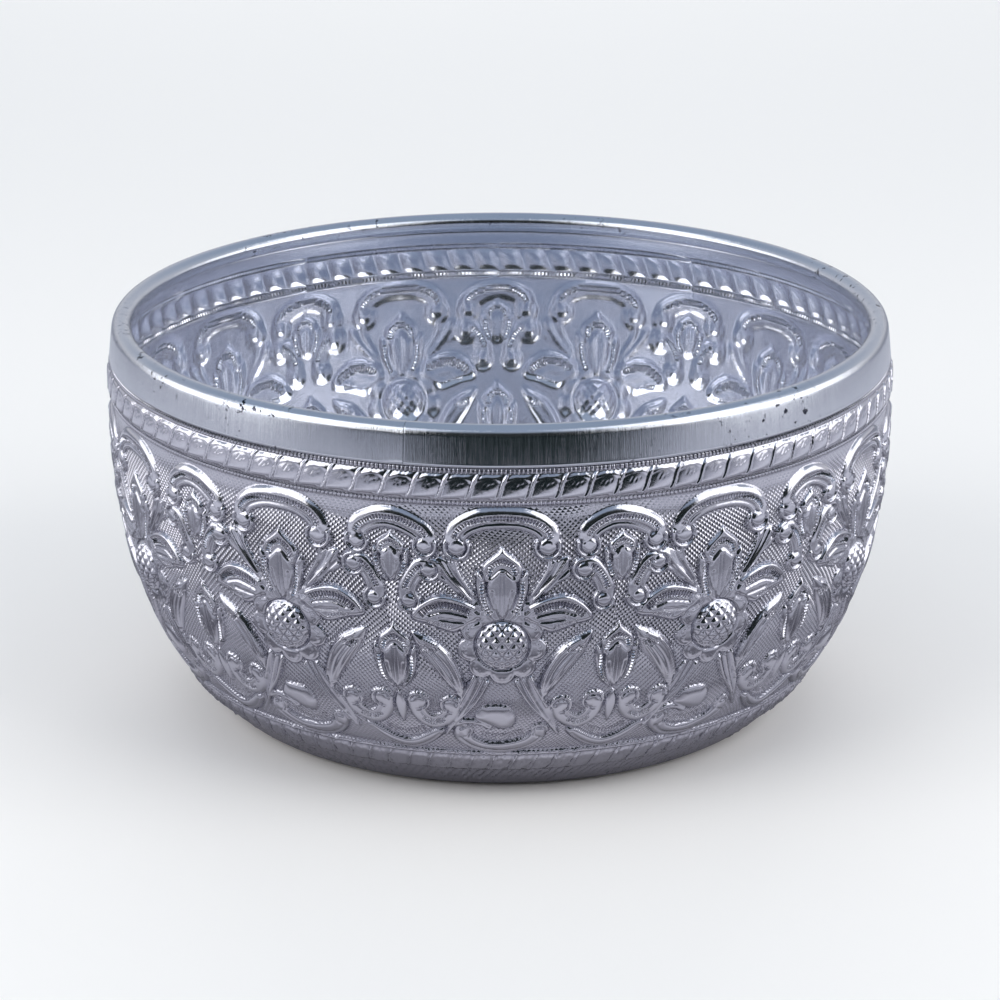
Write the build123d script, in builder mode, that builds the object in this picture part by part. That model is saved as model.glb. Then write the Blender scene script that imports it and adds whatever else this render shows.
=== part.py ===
import os
from math import acos, asin, cos, degrees, pi, sin, sqrt

from build123d import *

# Offering bowl of thin embossed aluminium, in millimetres, +Z up.
# The origin is the middle of the flat base, and the photographed front faces -Y.

# Driving dimensions of the plain drawn wall
belly_diameter = 198.6
belly_height = 77.0
bowl_height = 101.0
sheet = 0.8

# Wall section: one long arc from the lip down past the belly, one tighter arc below it
upper_wall_radius = 167.0
lower_wall_radius = 80.0
lower_wall_drop = 33.0
base_corner_radius = 8.0

# Rope courses, swaged out from the inside above and below the floral field
upper_rope_gap = 1.8
upper_rope_width = 6.4
lower_rope_bottom = 8.4
lower_rope_width = 5.2
rope_rise = 1.1

# Knobs, the highest of the embossing: eight-sided bosses round the wall, each with a sloped skirt and a crown
knob_count = 11
knob_sides = 8
knob_drop = 30.2
knob_radius = 6.9
knob_shoulder_radius = 4.9
knob_crown_radius = 2.2
knob_shoulder = 1.9
knob_rise = 2.9

# Rim: a polished strip folded over the edge of the shell and rolled round a wire
band_width = 9.6
band_sheet = 0.6
band_proud = 0.5
band_butt_gap = 0.2
band_seam_angle = -13.0
wire_diameter = 3.6
wire_clearance = 0.2
wire_butt_gap = 0.5
fit_gap = 0.1

# Rounds of the section are made of flats that stray from the true arc by about this much
flat_sag = 0.16

# Heights of the rim's lower edge and of the rope courses
band_bottom = bowl_height - band_width
upper_rope_top = band_bottom - upper_rope_gap
upper_rope_bottom = upper_rope_top - upper_rope_width
lower_rope_top = lower_rope_bottom + lower_rope_width

# Centres of the two wall arcs, and the angle where one runs into the other
upper_centre_r = belly_diameter / 2 - upper_wall_radius
turn_angle = asin(lower_wall_drop / upper_wall_radius)
lower_centre_r = upper_centre_r + (upper_wall_radius - lower_wall_radius) * cos(turn_angle)
lower_centre_z = belly_height - (upper_wall_radius - lower_wall_radius) * sin(turn_angle)

# The base corner, tangent to the flat base and, from inside, to the lower wall arc
corner_reach = lower_wall_radius - base_corner_radius
corner_angle = -asin((lower_centre_z - base_corner_radius) / corner_reach)
corner_centre_r = lower_centre_r + corner_reach * cos(corner_angle)

# Depths below the plain wall of the band's inner face, and of the shell's two faces behind it
leg_depth = band_sheet - band_proud
joggle = leg_depth + fit_gap
shell_back = joggle + sheet

# The roll at the lip, tangent to the band's outer face
roll_radius = wire_diameter / 2 + wire_clearance + band_sheet
roll_depth = roll_radius - band_proud
roll_centre_z = bowl_height - roll_radius
roll_angle = asin((roll_centre_z - belly_height) / (upper_wall_radius - roll_depth))
roll_centre_r = upper_centre_r + (upper_wall_radius - roll_depth) * cos(roll_angle)
tuck_turn = 2 * pi - acos((roll_depth - shell_back - fit_gap) / roll_radius)
wire_reach = wire_diameter / 2 + fit_gap
edge_angle = roll_angle - sqrt(wire_reach**2 - (roll_depth - shell_back) ** 2) / upper_wall_radius

# Where a knob stands on the wall, and how deep its foot is sunk into the sheet
knob_angle = asin(-knob_drop / upper_wall_radius)
knob_facing = (cos(knob_angle), 0, sin(knob_angle))
knob_spot = (upper_centre_r + upper_wall_radius * knob_facing[0], 0, belly_height - knob_drop)
knob_plane = Plane(origin=knob_spot, x_dir=(0, 1, 0), z_dir=knob_facing)
knob_root = 0.75 * sheet


def upper_angle(height):
    """Angle on the upper wall arc of a height."""
    return asin((height - belly_height) / upper_wall_radius)


def lower_angle(height):
    """Angle on the lower wall arc of a height."""
    return asin((height - lower_centre_z) / lower_wall_radius)


def flat_count(radius, turn):
    """Number of flats that make a round of a radius, turning by an angle."""
    return max(1, round(turn / (2 * acos(1 - flat_sag / radius))))


def flats(arc):
    """The same round as an arc, made of flats."""
    count = flat_count(arc.radius, arc.length / arc.radius)
    return Polyline(*[arc @ (step / count) for step in range(count + 1)])


def arc_flats(centre, radius, start, end):
    """A round about a centre between two angles, made of flats."""
    return flats(CenterArc(centre, radius, degrees(start), degrees(end - start), mode=Mode.PRIVATE))


def upper_wall(start, end, depth=0.0):
    """Stretch of the upper wall between two angles, sunk below the plain wall by a depth."""
    return arc_flats((upper_centre_r, belly_height), upper_wall_radius - depth, start, end)


def lower_wall(start, end):
    """Stretch of the lower wall between two angles."""
    return arc_flats((lower_centre_r, lower_centre_z), lower_wall_radius, start, end)


def rope_bead(below, above):
    """Half-round swage from the end of one stretch of wall to the start of the next."""
    return flats(SagittaArc(below @ 1, above @ 0, -rope_rise, mode=Mode.PRIVATE))


def knob(sink):
    """One knob, its foot sunk into the sheet, moved in along the wall's own facing by a depth."""
    levels = (-knob_root, knob_shoulder, knob_rise)
    with BuildPart() as boss:
        for level, radius in zip(levels, (knob_radius, knob_shoulder_radius, knob_crown_radius)):
            with BuildSketch(knob_plane.offset(level - sink)):
                RegularPolygon(radius, knob_sides)
        loft(ruled=True)
    return boss.part


# Bowl shell: one drawn sheet, with the ropes and knobs raised from the inside and the top edge set in
band_angle = upper_angle(band_bottom)
joggle_angle = band_angle - (fit_gap + joggle) / upper_wall_radius
with BuildPart() as bowl_shell:
    with BuildSketch(Plane.XZ):
        with BuildLine() as shell_line:
            Line((0, 0), (corner_centre_r, 0))
            arc_flats((corner_centre_r, base_corner_radius), base_corner_radius, -pi / 2, corner_angle)
            foot = lower_wall(corner_angle, lower_angle(lower_rope_bottom))
            lower_field = lower_wall(lower_angle(lower_rope_top), -turn_angle)
            rope_bead(foot, lower_field)
            upper_field = upper_wall(-turn_angle, upper_angle(upper_rope_bottom))
            neck = upper_wall(upper_angle(upper_rope_top), joggle_angle)
            rope_bead(upper_field, neck)
            edge = upper_wall(band_angle - fit_gap / upper_wall_radius, edge_angle, joggle)
            Line(neck @ 1, edge @ 0)
            offset(amount=sheet, side=Side.LEFT, kind=Kind.INTERSECTION)
        make_face()
    revolve(axis=Axis.Z)
    with PolarLocations(0, knob_count, start_angle=-90):
        add(knob(0))
        add(knob(sheet), mode=Mode.SUBTRACT)
bowl_shell.part.label = "bowl_shell"

# Rim band: a strip with one leg outside the shell, rolled over the wire and tucked in behind
band_gap_angle = degrees(band_butt_gap / roll_centre_r)
with BuildPart() as rim_band:
    with BuildSketch(Plane.XZ.rotated((0, 0, band_seam_angle - 90 + band_gap_angle / 2))):
        with BuildLine():
            face = upper_wall(band_angle, roll_angle, -band_proud)
            back = upper_wall(band_angle, roll_angle, leg_depth)
            roll_centre = (roll_centre_r, roll_centre_z)
            outside = arc_flats(roll_centre, roll_radius, roll_angle, roll_angle + tuck_turn)
            inside = arc_flats(roll_centre, roll_radius - band_sheet, roll_angle, roll_angle + tuck_turn)
            Line(face @ 0, back @ 0)
            Line(outside @ 1, inside @ 1)
        make_face()
    revolve(axis=Axis.Z, revolution_arc=360 - band_gap_angle)
rim_band.part.label = "rim_band"

# Rim wire: a hoop with butted ends, hidden in the roll and resting on the edge of the shell
wire_gap_angle = degrees(wire_butt_gap / roll_centre_r)
with BuildPart() as rim_wire:
    with BuildSketch(Plane.XZ.rotated((0, 0, band_seam_angle + 90 + wire_gap_angle / 2))):
        with Locations((roll_centre_r, roll_centre_z)):
            RegularPolygon(wire_diameter / 2, flat_count(wire_diameter / 2, 2 * pi))
    revolve(axis=Axis.Z, revolution_arc=360 - wire_gap_angle)
rim_wire.part.label = "rim_wire"

os.makedirs("parts", exist_ok=True)
export_step(bowl_shell.part, "parts/bowl_shell.step")
export_step(rim_band.part, "parts/rim_band.step")
export_step(rim_wire.part, "parts/rim_wire.step")
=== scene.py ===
import math

import bmesh
import bpy
import numpy as np
from mathutils import Matrix


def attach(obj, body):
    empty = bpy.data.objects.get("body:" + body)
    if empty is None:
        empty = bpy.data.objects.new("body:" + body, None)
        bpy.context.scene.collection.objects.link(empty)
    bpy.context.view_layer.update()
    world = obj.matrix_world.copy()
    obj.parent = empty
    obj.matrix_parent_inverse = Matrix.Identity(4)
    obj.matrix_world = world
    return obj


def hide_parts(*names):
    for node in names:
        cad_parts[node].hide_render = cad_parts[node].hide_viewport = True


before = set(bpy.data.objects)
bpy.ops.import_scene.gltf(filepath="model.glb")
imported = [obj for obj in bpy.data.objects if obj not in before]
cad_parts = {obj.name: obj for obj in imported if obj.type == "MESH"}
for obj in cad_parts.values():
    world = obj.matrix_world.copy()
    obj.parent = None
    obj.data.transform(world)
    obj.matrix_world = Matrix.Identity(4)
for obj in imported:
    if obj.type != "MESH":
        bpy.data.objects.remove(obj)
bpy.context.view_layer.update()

# Embossed wall: one drawn sheet of bright aluminium, 0.8 mm thick, raised from the inside with punches and
# chased from the outside. A knob flower and a bud between scrolls come eleven times round, struck by eye.
# Each repeat is a piece of its own, cut where two repeats meet; sizes here are in millimetres.
mm = 0.001
sheet = 0.8
belly_radius = 99.3
belly_height = 77.0
upper_wall_radius = 167.0
lower_wall_radius = 80.0
lower_wall_drop = 33.0
corner_radius = 8.0
base_disc_radius = 66.0
shell_top_run = 104.6
band_bottom_run = 99.2
repeats = 11
repeat_columns = 210
corner_rows = 6

upper_centre = np.array((belly_radius - upper_wall_radius, belly_height))
wall_turn = math.asin(lower_wall_drop / upper_wall_radius)
centre_step = (upper_wall_radius - lower_wall_radius) * np.array((math.cos(wall_turn), -math.sin(wall_turn)))
lower_centre = upper_centre + centre_step
foot_angle = math.asin(-lower_centre[1] / lower_wall_radius)
turn_run = lower_wall_radius * (-wall_turn - foot_angle)
corner_reach = lower_wall_radius - corner_radius
corner_rise = lower_centre[1] - corner_radius
corner_centre = np.array((lower_centre[0] + math.sqrt(corner_reach**2 - corner_rise**2), corner_radius))
corner_end = math.atan2(-corner_rise, corner_centre[0] - lower_centre[0])
corner_run = lower_wall_radius * (corner_end - foot_angle)


def facings(angles):
    """The ways that a section faces at some angles, as (outwards, upwards)."""
    return np.stack((np.cos(angles), np.sin(angles)), 1)


def wall_line(run):
    """Points of the plain wall by the run up it from the table, and the way it faces there."""
    low = run < turn_run
    upper_turn = -wall_turn + (run - turn_run) / upper_wall_radius
    facing = facings(np.where(low, foot_angle + run / lower_wall_radius, upper_turn))
    arm = np.where(low, lower_wall_radius, upper_wall_radius)[:, None]
    centre = np.where(low[:, None], lower_centre, upper_centre)
    return centre + arm * facing, facing


def corner_line(count):
    """Points of the rounded base corner from the table up to the wall, and the way it faces."""
    facing = facings(np.linspace(-math.pi / 2, corner_end, count, endpoint=False))
    return corner_centre + corner_radius * facing, facing


def wall_runs(*stretches):
    """Runs of rows up the wall from the base corner; a stretch is its top and the mm between its rows."""
    runs = []
    start = corner_run
    for end, spacing in stretches:
        runs.extend(np.linspace(start, end, round((end - start) / spacing), endpoint=False))
        start = end
    return np.array(runs + [start])


outer_runs = wall_runs(
    (11.0, 0.5), (18.5, 0.4), (50.0, 0.38), (90.0, 0.3), (100.0, 0.28), (shell_top_run, 1.5),
)
inner_runs = wall_runs((46.0, 1.8), (62.0, 0.65), (100.0, 0.75), (shell_top_run, 2.0))
outer_wall, outer_facing = wall_line(outer_runs)
inner_wall, inner_facing = wall_line(inner_runs)
corner_wall, corner_facing = corner_line(corner_rows)
down = np.array(((0.0, -1.0),))
section_points = np.vstack((
    [(base_disc_radius, 0.0)], corner_wall, outer_wall,
    inner_wall[::-1] - sheet * inner_facing[::-1], corner_wall[::-1] - sheet * corner_facing[::-1],
    [(base_disc_radius, sheet)],
))
section_facing = np.vstack((
    down, corner_facing, outer_facing, inner_facing[::-1], corner_facing[::-1], down,
))
first_outer = 1 + corner_rows
first_inner = first_outer + len(outer_runs)
outer_rows = slice(first_outer, first_inner)
inner_rows = slice(first_inner, first_inner + len(inner_runs))
row_in_front = np.abs(outer_runs[None, :] - inner_runs[::-1, None]).argmin(1)


def spun(name, section, sweep, steps):
    """A smooth mesh spun from a closed section of (radius, height) points, its cut ends filled and sharp.
    Also gives each vertex's row in the section and its angle round from the front."""
    blank = bmesh.new()
    row_layer = blank.verts.layers.int.new("row")
    line = []
    for row, (radius, height) in enumerate(section):
        vertex = blank.verts.new((0.0, -radius * mm, height * mm))
        vertex[row_layer] = row
        line.append(vertex)
    outline = [blank.edges.new(pair) for pair in zip(line, line[1:] + line[:1])]
    bmesh.ops.spin(
        blank, geom=line + outline, cent=(0, 0, 0), axis=(0, 0, 1), angle=sweep, steps=steps,
        use_merge=False,
    )
    cut_edges = [edge for edge in blank.edges if edge.is_boundary]
    bmesh.ops.holes_fill(blank, edges=cut_edges, sides=0)
    bmesh.ops.recalc_face_normals(blank, faces=blank.faces)
    for edge in cut_edges:
        edge.smooth = False
    for face in blank.faces:
        face.smooth = True
    mesh = bpy.data.meshes.new(name)
    blank.to_mesh(mesh)
    blank.free()
    spots = np.empty(len(mesh.vertices) * 3)
    mesh.vertices.foreach_get("co", spots)
    spots = spots.reshape(-1, 3)
    rows = np.empty(len(mesh.vertices), np.int32)
    mesh.attributes["row"].data.foreach_get("value", rows)
    mesh.attributes.remove(mesh.attributes["row"])
    return mesh, rows, np.arctan2(spots[:, 0], -spots[:, 1])


blank_mesh, rows, blank_turn = spun("wall_blank", section_points, math.tau / repeats, repeat_columns)
columns = np.rint(blank_turn / (math.tau / repeats) * repeat_columns).astype(int)

# A stamp is a flat drawing of the sheet: mm across at this radius by mm up the wall.
drawn_radius = 100.0


def flowing(points, closed=False, parts=5):
    """A flowing line through given points of a stamp."""
    placed = np.array(points, float)
    if closed:
        placed = np.vstack((placed[-1:], placed, placed[:2]))
    else:
        placed = np.vstack((2 * placed[0] - placed[1], placed, 2 * placed[-1] - placed[-2]))
    share = np.linspace(0, 1, parts, endpoint=False)[:, None]
    runs = []
    for a, b, c, d in zip(placed, placed[1:], placed[2:], placed[3:]):
        bend = 2 * a - 5 * b + 4 * c - d
        twist = 3 * b - a - 3 * c + d
        runs.append(0.5 * (2 * b + (c - a) * share + bend * share**2 + twist * share**3))
    return np.vstack(runs + [placed[-2:-1]])


def turned_over(points):
    """Points on the other side of a motif's middle, in the order that carries their line on."""
    return [(-x, s) for x, s in points[::-1]]


def both_halves(half):
    """A line that ends on a motif's middle, carried on by its mirror image."""
    return half + turned_over(half[:-1])


def both_hands(stamp):
    """The stamp as it stands and turned over, left for right; what is struck on either goes on one sheet."""
    return [{**stamp, "across": stamp["across"] * hand} for hand in (1, -1)]


def patch(stamp, line, reach):
    """The rows and columns of a stamp that lie within reach of a line, or None."""
    across, run = stamp["across"], stamp["run"]
    wide = np.flatnonzero((across > line[:, 0].min() - reach) & (across < line[:, 0].max() + reach))
    high = np.flatnonzero((run > line[:, 1].min() - reach) & (run < line[:, 1].max() + reach))
    if not len(wide) or not len(high):
        return None
    return slice(high[0], high[-1] + 1), slice(wide[0], wide[-1] + 1)


def places(stamp, spot):
    """Each point of a patch: mm across and mm up the wall."""
    return np.meshgrid(stamp["across"][spot[1]], stamp["run"][spot[0]])


def follow(stamp, line, spot):
    """Distance of each point from a line, the run along it, its side, whether inside, and the length."""
    x, s = places(stamp, spot)
    nearest = np.full(x.shape, np.inf)
    run = np.zeros(x.shape)
    side = np.zeros(x.shape)
    inside = np.zeros(x.shape, bool)
    length = 0.0
    for (ax, sa), (bx, sb) in zip(line, line[1:]):
        size = math.hypot(bx - ax, sb - sa)
        if size < 1e-6:
            continue
        share = np.clip(((x - ax) * (bx - ax) + (s - sa) * (sb - sa)) / size**2, 0, 1)
        gap = np.hypot(x - ax - share * (bx - ax), s - sa - share * (sb - sa))
        nearer = gap < nearest
        nearest = np.where(nearer, gap, nearest)
        run = np.where(nearer, length + share * size, run)
        side = np.where(nearer, np.sign((bx - ax) * (s - sa) - (sb - sa) * (x - ax)), side)
        if sa != sb:
            inside ^= ((sa > s) != (sb > s)) & (x < (bx - ax) * (s - sa) / (sb - sa) + ax)
        length += size
    return nearest, run, side, inside, length


def raise_to(stamp, spot, height):
    """Lifts the sheet to a height where it isn't already higher."""
    stamp["form"][spot] = np.maximum(stamp["form"][spot], height)


def cut_to(stamp, spot, cut):
    """Chases the sheet down by a cut, below nought, where it isn't already cut deeper."""
    stamp["chase"][spot] = np.minimum(stamp["chase"][spot], cut)


def bead(stamp, points, width, height, tip=1.0):
    """A rounded line raised from behind, thinning out to a share of its width at its end."""
    line = flowing(points)
    spot = patch(stamp, line, width)
    if spot:
        gap, run, _, _, length = follow(stamp, line, spot)
        half = width * (1 + (tip - 1) * run / length)
        raise_to(stamp, spot, height * np.clip(1 - (gap / half) ** 2, 0, 1))


def pillow(stamp, points, height, crown, dish=0.0, outline=0.14):
    """A closed form with a rounded edge, such as a petal or leaf, dished in its middle and chased round."""
    margin, outline_half, dish_start = 0.5, 0.42, 0.6
    line = flowing(points, closed=True)
    spot = patch(stamp, line, margin)
    if spot:
        gap, _, _, inside, _ = follow(stamp, line, spot)
        rise = np.clip(gap / crown, 0, 1)
        sunk = dish * np.clip(gap / crown - dish_start, 0, 1)
        raise_to(stamp, spot, np.where(inside, height * (1 - (1 - rise) ** 2) - sunk, 0))
        cut_to(stamp, spot, -outline * np.clip(1 - (gap / outline_half) ** 2, 0, 1))


def scroll_band(stamp, points, steps):
    """A moulded strip along the left of a line; steps are (mm in from its edge, height there)."""
    line = flowing(points)
    depth, level = zip(*steps)
    spot = patch(stamp, line, depth[-1])
    if spot:
        gap, run, side, _, length = follow(stamp, line, spot)
        within = (side > 0) & (run > 0) & (run < length)
        raise_to(stamp, spot, np.where(within, np.interp(gap, depth, level, right=0), 0))


def boss(stamp, centre, radius, height, edge=2.0):
    """A round boss; a higher edge power makes it flatter on top."""
    spot = patch(stamp, np.array((centre,), float), radius)
    if spot:
        x, s = places(stamp, spot)
        gap = np.hypot(x - centre[0], s - centre[1]) / radius
        raise_to(stamp, spot, height * np.sqrt(np.clip(1 - gap**edge, 0, 1)))


def engrave(stamp, points, width, depth):
    """A chased line, cut into whatever is raised there."""
    line = flowing(points)
    spot = patch(stamp, line, width)
    if spot:
        gap = follow(stamp, line, spot)[0]
        cut_to(stamp, spot, -depth * np.clip(1 - (gap / width) ** 2, 0, 1))


def comb(stamp, points, length, pitch, depth):
    """A row of short strokes set square across a line; the finish sharpens them by their count and depth."""
    fade = 0.3
    line = flowing(points)
    spot = patch(stamp, line, length)
    if spot:
        gap, run, _, _, total = follow(stamp, line, spot)
        stroke = 0.5 + 0.5 * np.cos(math.tau * run / pitch)
        ends = np.clip((length / 2 - gap) / fade, 0, 1) * ((run > 0) & (run < total))
        cut_to(stamp, spot, -depth * stroke * ends)
        deeper = depth * ends > stamp["stroke"][spot]
        stamp["stroke"][spot] = np.where(deeper, depth * ends, stamp["stroke"][spot])
        stamp["count"][spot] = np.where(deeper, run / pitch, stamp["count"][spot])


def round_spot(centre, radius, angle):
    """The point at an angle, in degrees, on a circle."""
    angle = math.radians(angle)
    return centre[0] + radius * math.cos(angle), centre[1] + radius * math.sin(angle)


def arc(centre, radius, start, sweep):
    """Points of an arc about a centre, from one angle through a sweep, both in degrees."""
    return [round_spot(centre, radius, start + sweep * share) for share in np.linspace(0, 1, 7)]


# Mouldings of the arches and of the S scrolls, from their outer edge to their inner one
arch_steps = [(0, 0), (0.35, 0.36), (0.8, 0.66), (1.3, 0.86), (1.8, 0.95), (3.3, 0.86), (3.6, 0.45),
              (4.0, 0.42), (4.3, 0.62), (5.0, 0.56), (5.4, 0)]
scroll_steps = [(0, 0), (0.3, 0.36), (0.7, 0.66), (1.1, 0.82), (2.9, 0.76), (3.2, 0.36), (3.5, 0.34),
                (3.8, 0.52), (4.3, 0.45), (4.6, 0)]


def volute(stamp, centre, radius, start, sweep, rise=1.12):
    """The rolled end of a scroll: a round boss, a groove about it and the scroll's edge curling past it."""
    curl_share, boss_share, groove_share, groove_sweep = 0.88, 0.7, 0.72, 1.2
    curl = arc(centre, curl_share * radius, start, sweep)
    bead(stamp, curl, width=0.62, height=curl_share * rise, tip=0.7)
    boss(stamp, centre, boss_share * radius, rise, edge=3.0)
    groove = arc(centre, groove_share * radius, start, groove_sweep * sweep)
    engrave(stamp, groove, width=0.32, depth=0.3)


def standing_bud(stamp, foot, tip, half):
    """A bud: a hood with a fan of strokes under it, a veined inner leaf and a notched sepal on each side."""
    tall = tip - foot

    def placed(points):
        return [(x * half, foot + share * tall) for x, share in points]

    half_hood = [(0.2, 0.935), (0.52, 0.865), (0.86, 0.79), (1, 0.7), (0.95, 0.6), (0.7, 0.52)]
    hood = [(0, 1)] + half_hood + turned_over(half_hood)
    pillow(stamp, placed(hood), height=0.95, crown=1.1, dish=0.4, outline=0.0)
    fan = both_halves([(-0.66, 0.63), (-0.5, 0.75), (0, 0.81)])
    comb(stamp, placed(fan), length=0.085 * tall, pitch=0.7, depth=0.3)
    half_leaf = [(0.42, 0.66), (0.72, 0.55), (0.74, 0.34), (0.48, 0.13)]
    leaf = [(0, 0.73)] + half_leaf + [(0, 0)] + turned_over(half_leaf)
    pillow(stamp, placed(leaf), height=1.0, crown=1.2, outline=0.1)
    sepal = [(1.2, 0.68), (1.3, 0.55), (1.22, 0.36), (0.98, 0.18), (0.55, 0.05), (0.2, 0), (0.52, 0.2),
             (0.78, 0.4), (0.88, 0.58)]
    notches = [(0.98, 0.55), (0.98, 0.4), (0.86, 0.25), (0.62, 0.1)]
    for side in both_hands(stamp):
        pillow(side, placed(sepal), height=0.8, crown=0.7)
        comb(side, placed(notches), length=1.2, pitch=0.84, depth=0.36)
        engrave(side, placed([(0.1, 0.02), (0.11, 0.3), (0.09, 0.64)]), width=0.4, depth=0.34)
        engrave(side, placed([(0.16, 0.03), (0.32, 0.18), (0.48, 0.42)]), width=0.4, depth=0.3)


knob_spot = (0, 53.9)
knob_radius = 6.6
knob_rise = 2.9


def knob_scales(stamp):
    """Crossed grooves that cut the knob into diamond scales, and the ring groove round its foot."""
    wide, tall, depth, groove = 3.1, 3.6, 0.6, 0.36
    swelling, bare_edge = 0.22, 0.4
    foot_depth, foot_half = 0.6, 0.5
    spot = patch(stamp, np.array((knob_spot,), float), knob_radius + 1)
    if spot:
        x, s = places(stamp, spot)
        s = s - knob_spot[1]
        gap = np.hypot(x, s)
        swell = 1 + swelling * (gap / knob_radius) ** 2
        u = (x / wide + s / tall) * swell + 0.5
        v = (x / wide - s / tall) * swell + 0.5
        ribs = np.minimum(np.abs(u - np.rint(u)), np.abs(v - np.rint(v)))
        within = np.clip((knob_radius - bare_edge - gap) / bare_edge, 0, 1)
        scales = -depth * np.clip(1 - ribs / groove, 0, 1) ** 1.5 * within
        foot = -foot_depth * np.clip(1 - np.abs(gap - knob_radius) / foot_half, 0, 1)
        cut_to(stamp, spot, np.minimum(scales, foot))


def knob_in_collar(stamp):
    """The knob, on a collar of round lobes, each with a chased arc and two raised dots."""
    lobes, collar_radius = 9, 7.9
    arc_radius, arc_sweep = 2.2, 160
    dot_reach, dot_turn = 1.3, 24
    for lobe in range(lobes):
        angle = 360 / lobes * lobe - 90
        middle = round_spot(knob_spot, collar_radius, angle)
        boss(stamp, middle, radius=3.2, height=0.86, edge=3.4)
        engrave(stamp, arc(middle, arc_radius, angle - arc_sweep / 2, arc_sweep), width=0.34, depth=0.2)
        for turn in (-dot_turn, dot_turn):
            boss(stamp, round_spot(middle, dot_reach, angle + turn), radius=0.5, height=1.05)
    boss(stamp, knob_spot, knob_radius, knob_rise, edge=2.2)
    knob_scales(stamp)


def upper_leaf(side):
    """The end of the flower's arch, and the ribbed leaf that runs from there down to the bud's foot."""
    volute(side, (10.7, 79.3), radius=3.3, start=20, sweep=-230)
    leaf = [(14.8, 76.6), (12.6, 75.8), (11.2, 75.2), (10.6, 73), (9.2, 70.6), (7.6, 68.4), (6.4, 66.4),
            (4.2, 63), (5.6, 62.4), (8.6, 65.8), (11, 67.8), (13.2, 70), (16.2, 71.6), (15.8, 74.4),
            (16, 76.2)]
    pillow(side, leaf, height=0.36, crown=0.5, outline=0.1)
    bead(side, [(11.2, 75.8), (10.5, 73), (8.8, 70), (7, 67.2)], width=0.48, height=0.8)
    engrave(side, [(13.2, 76.2), (11.4, 72.4), (9, 69.2), (6.2, 65.2)], width=0.45, depth=0.36)
    bead(side, [(14.9, 75.4), (12.8, 72), (10.4, 69.2), (7.4, 66)], width=0.48, height=0.85)
    engrave(side, [(15.6, 73.4), (13.2, 71), (10.6, 68.4)], width=0.45, depth=0.34)


def side_leaf(side):
    """The broad leaf beside the knob: a raised upper edge, a comb under it, and veins."""
    leaf = [(4.6, 62), (6.6, 64.4), (9, 65.9), (12, 66.9), (15, 67), (18, 65.8), (20.6, 63.6), (22.2, 61.2),
            (21.2, 59.7), (18, 59), (15.4, 58), (12, 57), (9.4, 58), (7, 59.4), (5.4, 60.6)]
    pillow(side, leaf, height=0.95, crown=1.8, dish=0.2)
    edge = [(6.8, 63.9), (9.3, 65.3), (13, 66.3), (16, 66.1), (19, 64.3), (21.2, 61.8)]
    bead(side, edge, width=0.75, height=1.2)
    under = [(7.8, 63), (10.5, 64.1), (14, 64.6), (17, 63.7), (19.6, 61.8)]
    comb(side, under, length=2.0, pitch=0.74, depth=0.42)
    engrave(side, [(8.4, 61.9), (11, 62.5), (14, 62.9), (17.4, 61.9)], width=0.45, depth=0.42)
    engrave(side, [(9, 60.2), (11.6, 60.4), (15, 60.8)], width=0.4, depth=0.3)
    comb(side, [(12.4, 58.8), (15, 59.6), (18, 60)], length=1.2, pitch=0.9, depth=0.14)


def lower_leaf(side):
    """The long leaf under the side leaf, with a raised edge, three veins and a short comb at its tip."""
    leaf = [(9.4, 39), (9.2, 42), (9.8, 45), (11.2, 48.6), (13, 51.8), (15.4, 54.2), (18.6, 56), (22.2, 57),
            (21.6, 54), (20.2, 51), (18, 47.8), (15.4, 44.2), (13, 40.8), (11, 38.2), (10, 37.4)]
    pillow(side, leaf, height=1.1, crown=2.4, dish=0.15)
    edge = [(9.9, 42), (10.6, 45), (12, 48.4), (13.8, 51.2), (16.2, 53.4), (19, 55)]
    bead(side, edge, width=0.5, height=1.25)
    for shift in (0, 1.9, 3.8):
        vein = [(10.8 + shift * 0.3, 39.8), (11.9 + shift * 0.7, 43.4), (13.7 + shift * 0.9, 47.4),
                (16.6 + shift * 0.8, 51.2), (18.8 + shift * 0.5, 53.4)]
        engrave(side, vein, width=0.42, depth=0.4)
    comb(side, [(15.6, 53), (17.6, 52), (19.4, 53)], length=1.7, pitch=0.8, depth=0.2)


def stems(side):
    """Three stems on a low ridge, spreading down from the collar to the boat."""
    ridge = [(3.8, 44.2), (8, 44.2), (10.4, 39.4), (12.4, 35.4), (14, 31.4), (15.4, 26), (14.6, 25.4),
             (12.6, 29.4), (8.6, 34.2), (6, 38.4)]
    pillow(side, ridge, height=0.24, crown=0.4, outline=0.05)
    bead(side, [(7.2, 44.4), (9.5, 39.6), (11.6, 35.4)], width=0.5, height=0.9)
    bead(side, [(5.2, 44), (8, 37.8), (10.4, 33.6), (12.4, 30.6)], width=0.5, height=0.85)
    bead(side, [(3.6, 43.4), (6.4, 37.8), (8.8, 34.4), (12.4, 30), (15.2, 25.6)], width=0.52, height=0.95)


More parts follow.
